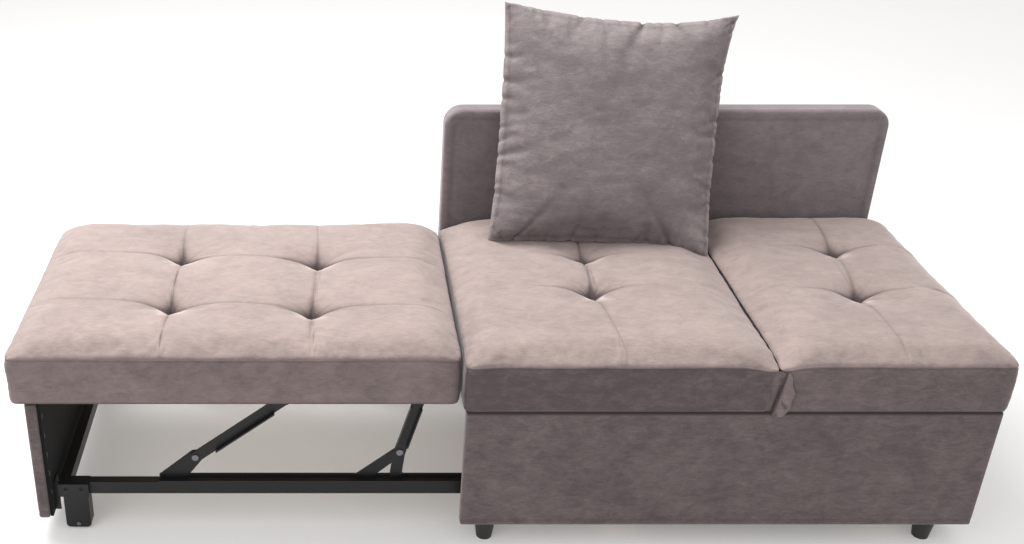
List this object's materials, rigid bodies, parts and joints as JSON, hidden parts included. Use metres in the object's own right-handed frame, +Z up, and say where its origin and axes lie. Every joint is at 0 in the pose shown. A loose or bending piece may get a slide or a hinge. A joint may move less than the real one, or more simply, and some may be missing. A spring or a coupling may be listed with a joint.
{
  "type": "sofa bed",
  "caption": "Compact tufted velvet loveseat opened into a single bed: a cushion on a wheeled steel drawer pulls out at the side and lifts on a linkage; the head cushion tilts up; loose pillow.",
  "frame": {"origin": "on the floor, at the middle of the box round the opened sofa bed", "axes": "+X along the bed from the pulled-out end to the head end, +Y from the seat's front to the back, +Z up"},
  "size_m": [1.922, 0.705, 0.9134],
  "materials": {
    "velvet": "short mauve-grey velvet with a mottled nap",
    "pillow_velvet": "grey velvet with a mottled nap",
    "black_lining": "matte black non-woven cloth",
    "timber": "raw plywood and pine",
    "black_steel": "satin black powder coat",
    "bright_steel": "zinc-plated steel",
    "black_plastic": "black moulded plastic"
  },
  "bodies": {
    "sofa_body": {"front_panel": "velvet", "rear_panel": "velvet", "right_panel": "velvet", "seat_deck": "timber", "deck_rails": "timber", "bottom_rails": "timber", "corner_blocks": "timber", "foot_front_left": "black_plastic", "foot_front_right": "black_plastic", "foot_rear_left": "black_plastic", "foot_rear_right": "black_plastic", "foot_blocks": "timber", "foot_screws": "bright_steel", "back_pad": "velvet", "back_board": "timber", "back_lining": "black_lining", "back_spacers": "timber", "back_bolts": "bright_steel", "seat_cushion": "velvet", "seat_board": "timber", "hinge_fixed_arms": "black_steel", "hinge_pins": "bright_steel", "fold_gussets": "velvet", "guide_track_front": "black_steel", "guide_track_rear": "black_steel", "mouth_brackets": "black_steel"},
    "head_unit": {"head_cushion": "velvet", "head_board": "timber", "hinge_moving_arms": "black_steel"},
    "drawer": {"end_board": "velvet", "end_board_lining": "black_lining", "board_brackets": "black_steel", "drawer_rail_front": "black_steel", "drawer_rail_rear": "black_steel", "cross_bars": "black_steel", "lift_base_bars": "black_steel", "leg_housing_front": "black_plastic", "leg_housing_rear": "black_plastic", "roller_axles": "bright_steel", "strut_brackets": "black_steel", "link_brackets": "black_steel"},
    "lift_links": {"short_link_front": "black_steel", "short_link_rear": "black_steel", "link_cross_tube": "black_steel", "link_pins": "bright_steel"},
    "lift_struts": {"strut_front": "black_steel", "strut_rear": "black_steel", "strut_cross_tube": "black_steel", "strut_pins": "bright_steel"},
    "pullout_cushion_unit": {"pullout_cushion": "velvet", "pullout_board": "timber", "top_bars": "black_steel"},
    "floor_roller_front": {"floor_roller_front": "black_plastic"},
    "floor_roller_rear": {"floor_roller_rear": "black_plastic"},
    "track_wheel_front": {"track_wheel_front": "black_plastic"},
    "track_wheel_rear": {"track_wheel_rear": "black_plastic"},
    "mouth_roller_front": {"mouth_roller_front": "black_plastic"},
    "mouth_roller_rear": {"mouth_roller_rear": "black_plastic"},
    "throw_pillow": {"throw_pillow": "pillow_velvet"}
  },
  "joints": [
    {"name": "pull_out", "type": "slide", "parent": "sofa_body", "child": "drawer", "axis": [-1, 0, 0], "range_m": [0, 0.1]},
    {"name": "cushion_lift", "type": "hinge", "parent": "drawer", "child": "lift_links", "pos_m": [-0.198, -0.023, 0.18], "axis": [0, -1, 0], "range_deg": [0, 30]},
    {"name": "strut_swing", "type": "hinge", "parent": "drawer", "child": "lift_struts", "pos_m": [-0.611, -0.023, 0.167], "axis": [0, -1, 0], "range_deg": [0, 22]},
    {"name": "cushion_tilt", "type": "hinge", "parent": "lift_links", "child": "pullout_cushion_unit", "pos_m": [-0.1626, -0.023, 0.3053], "axis": [0, -1, 0], "range_deg": [-42.2, 0]},
    {"name": "head_raise", "type": "hinge", "parent": "sofa_body", "child": "head_unit", "pos_m": [0.508, -0.023, 0.4123], "axis": [0, -1, 0], "range_deg": [0, 70]},
    {"name": "pillow_lift", "type": "slide", "parent": "sofa_body", "child": "throw_pillow", "axis": [0, 0, 1], "range_m": [0, 0.4]},
    {"name": "floor_roller_front_spin", "type": "hinge", "parent": "drawer", "child": "floor_roller_front", "pos_m": [-0.8575, -0.2875, 0.014], "axis": [0, -1, 0], "continuous": true},
    {"name": "floor_roller_rear_spin", "type": "hinge", "parent": "drawer", "child": "floor_roller_rear", "pos_m": [-0.8575, 0.2415, 0.014], "axis": [0, -1, 0], "continuous": true},
    {"name": "track_wheel_front_spin", "type": "hinge", "parent": "drawer", "child": "track_wheel_front", "pos_m": [0.058, -0.313, 0.099], "axis": [0, -1, 0], "continuous": true},
    {"name": "track_wheel_rear_spin", "type": "hinge", "parent": "drawer", "child": "track_wheel_rear", "pos_m": [0.058, 0.267, 0.099], "axis": [0, -1, 0], "continuous": true},
    {"name": "mouth_roller_front_spin", "type": "hinge", "parent": "sofa_body", "child": "mouth_roller_front", "pos_m": [-0.061, -0.2845, 0.0757], "axis": [0, -1, 0], "continuous": true},
    {"name": "mouth_roller_rear_spin", "type": "hinge", "parent": "sofa_body", "child": "mouth_roller_rear", "pos_m": [-0.061, 0.2385, 0.0757], "axis": [0, -1, 0], "continuous": true}
  ],
  "couplings": [
    {"joint": "strut_swing", "follows": "cushion_lift", "ratio": 0.725},
    {"joint": "cushion_tilt", "follows": "cushion_lift", "ratio": -1.4018},
    {"joint": "floor_roller_front_spin", "follows": "pull_out", "rad_per_m": 71.429},
    {"joint": "floor_roller_rear_spin", "follows": "pull_out", "rad_per_m": 71.429},
    {"joint": "track_wheel_front_spin", "follows": "pull_out", "rad_per_m": 90.909},
    {"joint": "track_wheel_rear_spin", "follows": "pull_out", "rad_per_m": 90.909},
    {"joint": "mouth_roller_front_spin", "follows": "pull_out", "rad_per_m": 111.11},
    {"joint": "mouth_roller_rear_spin", "follows": "pull_out", "rad_per_m": 111.11}
  ]
}
